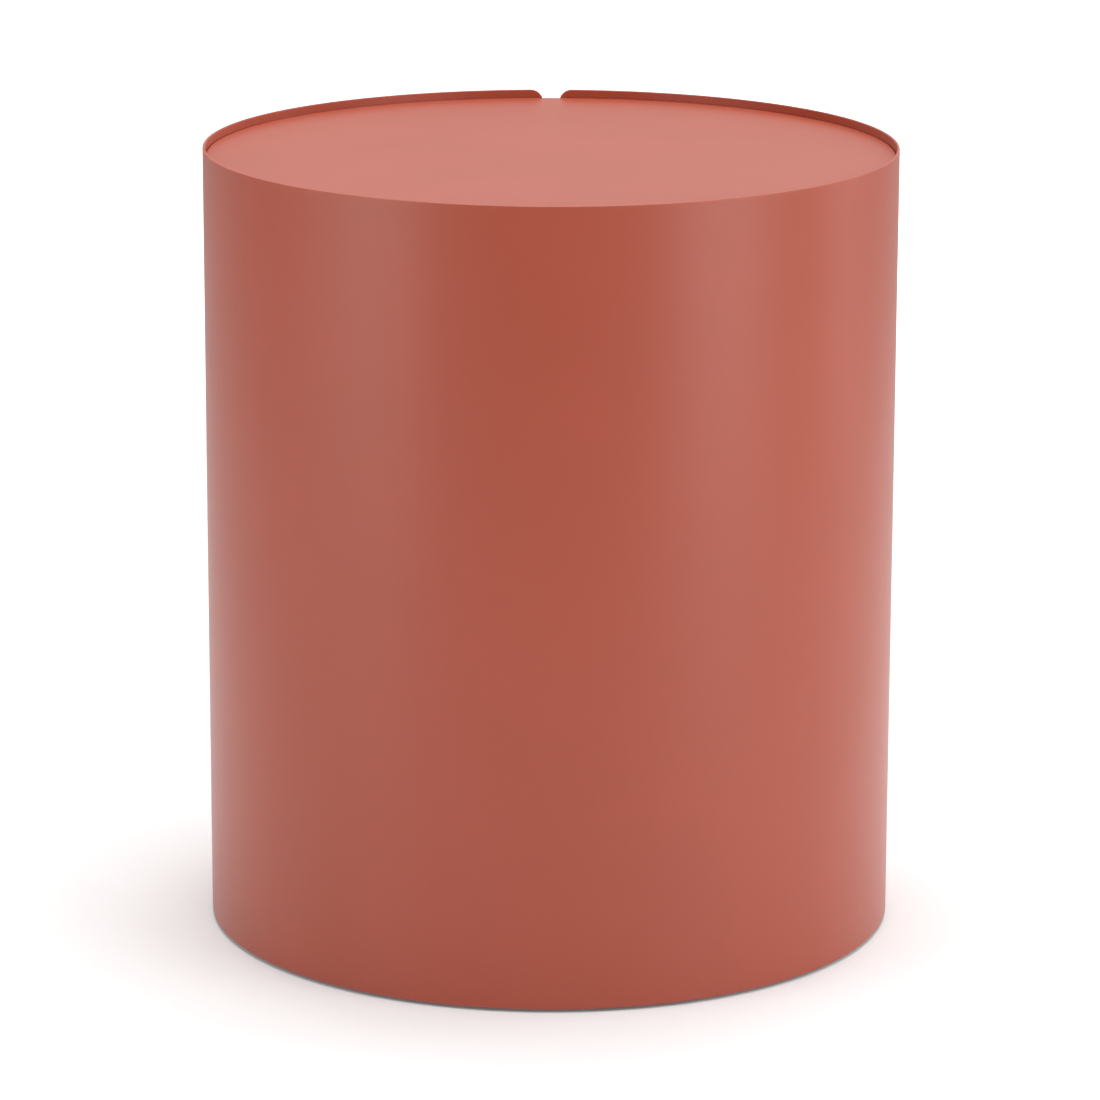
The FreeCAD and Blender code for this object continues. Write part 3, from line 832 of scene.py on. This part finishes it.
def makeFootPad(number):
    # a felt disc turned about the foot's axis, its cut edge a little ragged
    low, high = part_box("foot_pad_" + number)
    radius = (high.x - low.x) / 2
    r = pad["rounding"]
    quarter = np.linspace(0, math.pi / 2, pad["roundingRows"])
    under = np.array(pad["rows"]) * radius
    overOut = [radius, radius, 0.8 * radius, 0.3 * radius]
    overUp = [(low.z + high.z) / 2, high.z, high.z, high.z]
    out = np.concatenate([under, radius - r + r * np.sin(quarter), overOut])
    up = np.concatenate([low.z + 0 * under, low.z + r - r * np.cos(quarter), overUp])
    angle = roundAngles(pad["columns"])
    slow, quick = pad["raggedWaves"]
    stray = 0.5 + 0.25 * np.sin(slow * angle + int(number)) + 0.25 * np.sin(quick * angle)
    near = (out > radius - 2 * r)[:, None]
    reach = out[:, None] - near * (pad["ragged"] * stray)[None]
    points = turned(reach, angle[None], up[:, None]) + np.array(footPlace(number))
    skin("felt_pad_" + number, points, "felt", "foot_" + number, ["foot_pad_" + number])


makeTopFasteners()
makeFootNuts()
for number in feet:
    makeFootStem(number)
    makeFootBase(number)
    makeFootPad(number)
print("fasteners and feet made")


# Studio

studio = {
    "floorSize": 24.0,
    "floorDrop": 0.05 * mm,        # keeps the floor off the plane of the felt pads
    "floorColour": (0.80, 0.80, 0.80, 1),
    "floorWear": (0.78, 0.78, 0.78, 1),
    "floorCloud": 0.6,
    "floorRough": 0.8,
    "floorShine": 0.1,
    "glowNear": 0.08,              # light given off by the floor under the table and far from it
    "glowFar": 1.0,
    "glowReach": (0.8, 2.2),
    "skyBack": 0.66,               # brightest level with the eye, behind the table
    "skyRight": 1.02,
    "skyLeft": 0.24,
    "background": 1.0,
}
lamps = {
    "left_softbox": {"bearing": -55, "distance": 1.7, "height": 0.75, "size": (1.0, 1.6), "power": 11.8},
    "left_strip": {"bearing": -80, "distance": 1.7, "height": 0.75, "size": (0.5, 1.6), "power": 2.0},
    "right_softbox": {"bearing": 54, "distance": 1.7, "height": 0.75, "size": (1.0, 1.6), "power": 13.8},
    "right_strip": {"bearing": 80, "distance": 1.7, "height": 0.75, "size": (0.5, 1.6), "power": 0.6},
    "right_back_strip": {"bearing": 105, "distance": 1.7, "height": 0.75, "size": (0.5, 1.6), "power": 3.1},
    "top_softbox": {"bearing": 180, "distance": 0.3, "height": 2.2, "size": (1.6, 1.6), "power": 44.0},
    "front_top_softbox": {"bearing": 0, "distance": 1.2, "height": 2.0, "size": (1.2, 1.2), "power": 10.0},
}
camera = {
    "lens": 169.7,
    "back": 2.946,
    "height": 0.9565,
    "tilt": 14.1,
    "roll": 0.155,
}


def makeFloor():
    # away from the table the floor fades to white for the eye alone, and lights nothing
    paint = newPaint("studio_floor")
    cloud = paint.noise(studio["floorCloud"], detail=2)
    colour = paint.mix(paint.fade(cloud, 0.3, 0.7), studio["floorColour"], studio["floorWear"])
    away = paint.node("ShaderNodeVectorMath", {"operation": "LENGTH"}, {0: paint.place()}, output="Value")
    seen = paint.node("ShaderNodeLightPath", output="Is Camera Ray")
    share = paint.fade(away, *studio["glowReach"]) * seen
    near, far = ((glow, glow, glow, 1) for glow in (studio["glowNear"], studio["glowFar"]))
    material = paint.finish({
        "Base Color": colour,
        "Roughness": studio["floorRough"],
        "Specular IOR Level": studio["floorShine"],
        "Emission Color": paint.mix(share, near, far),
        "Emission Strength": 1.0,
    })
    half, level = studio["floorSize"] / 2, -studio["floorDrop"]
    corners = [(-half, -half, level), (half, -half, level), (half, half, level), (-half, half, level)]
    mesh = bpy.data.meshes.new("studio_floor")
    mesh.from_pydata(corners, [], [(0, 1, 2, 3)])
    mesh.materials.append(material)
    floor = bpy.data.objects.new("studio_floor", mesh)
    bpy.context.scene.collection.objects.link(floor)


def makeSky():
    # three soft glows, from the back and both sides, with a plain bright ground for the eye alone
    world = bpy.data.worlds.new("studio_sky")
    bpy.context.scene.world = world
    paint = Paint(world)
    direction = paint.node("ShaderNodeTexCoord", output="Generated")
    glow = 0.0
    for side, way, part in (("Y", 1, "skyBack"), ("X", 1, "skyRight"), ("X", -1, "skyLeft")):
        along = paint.node("ShaderNodeSeparateXYZ", sockets={"Vector": direction}, output=side)
        glow = paint.larger(along * way, 0.0) * studio[part] + glow
    seen = paint.node("ShaderNodeLightPath", output="Is Camera Ray")
    strength = glow + seen * (studio["background"] - glow)
    surface = paint.node("ShaderNodeBackground", sockets={"Color": (1, 1, 1, 1), "Strength": strength})
    paint.node("ShaderNodeOutputWorld", sockets={"Surface": surface})


def makeLamp(name, plan):
    # bearing 0 is on the camera's side, and it grows towards the right; every lamp faces the drum's middle
    bearing = math.radians(plan["bearing"])
    lamp = bpy.data.lights.new(name, "AREA")
    lamp.shape = "RECTANGLE"
    lamp.size, lamp.size_y = plan["size"]
    lamp.energy = plan["power"]
    holder = bpy.data.objects.new(name, lamp)
    bpy.context.scene.collection.objects.link(holder)
    spot = Vector((math.sin(bearing), -math.cos(bearing), 0)) * plan["distance"]
    spot.z = plan["height"]
    aim = Vector((0, 0, shellHigh.z / 2)) - spot
    holder.matrix_world = Matrix.Translation(spot) @ aim.to_track_quat("-Z", "Y").to_matrix().to_4x4()


def makeCamera():
    data = bpy.data.cameras.new("camera")
    data.lens = camera["lens"]
    holder = bpy.data.objects.new("camera", data)
    bpy.context.scene.collection.objects.link(holder)
    place = Matrix.Translation((0, -camera["back"], camera["height"]))
    tilt = Matrix.Rotation(math.radians(90 - camera["tilt"]), 4, "X")
    holder.matrix_world = place @ tilt @ Matrix.Rotation(math.radians(camera["roll"]), 4, "Z")
    bpy.context.scene.camera = holder


makeFloor()
makeSky()
for name, plan in lamps.items():
    makeLamp(name, plan)
makeCamera()
bpy.context.scene.view_settings.view_transform = "Standard"
print("studio made")
